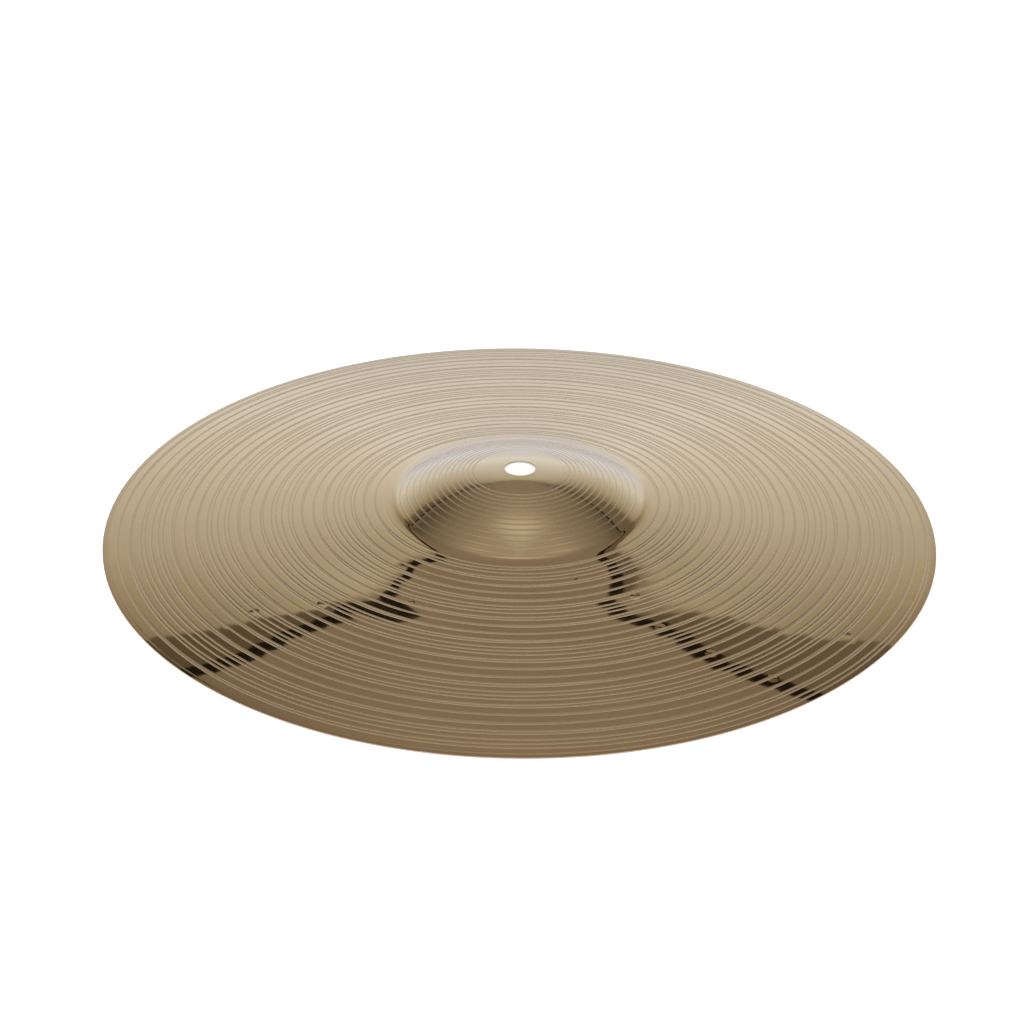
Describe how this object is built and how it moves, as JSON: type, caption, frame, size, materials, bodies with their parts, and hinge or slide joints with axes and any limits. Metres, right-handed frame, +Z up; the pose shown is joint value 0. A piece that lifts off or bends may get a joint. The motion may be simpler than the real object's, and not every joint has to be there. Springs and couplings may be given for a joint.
{
  "type": "crash cymbal",
  "caption": "Thin round crash cymbal: a dished bronze disc with a raised cup, a centre hole for a stand and fine lathe-turned grooves.",
  "frame": {"origin": "centre of the circle that the rim rests on, under the centre hole", "axes": "+Z up along the cymbal's axis, out of the top of the cup; the cymbal is round, so X and Y are free"},
  "size_m": [0.3556, 0.3556, 0.0279],
  "materials": {
    "cymbal_bronze": "bright lathe-turned bronze: fine crossing spiral grooves with polished lands between them"
  },
  "bodies": {
    "root": {"cymbal": "cymbal_bronze"}
  },
  "joints": []
}
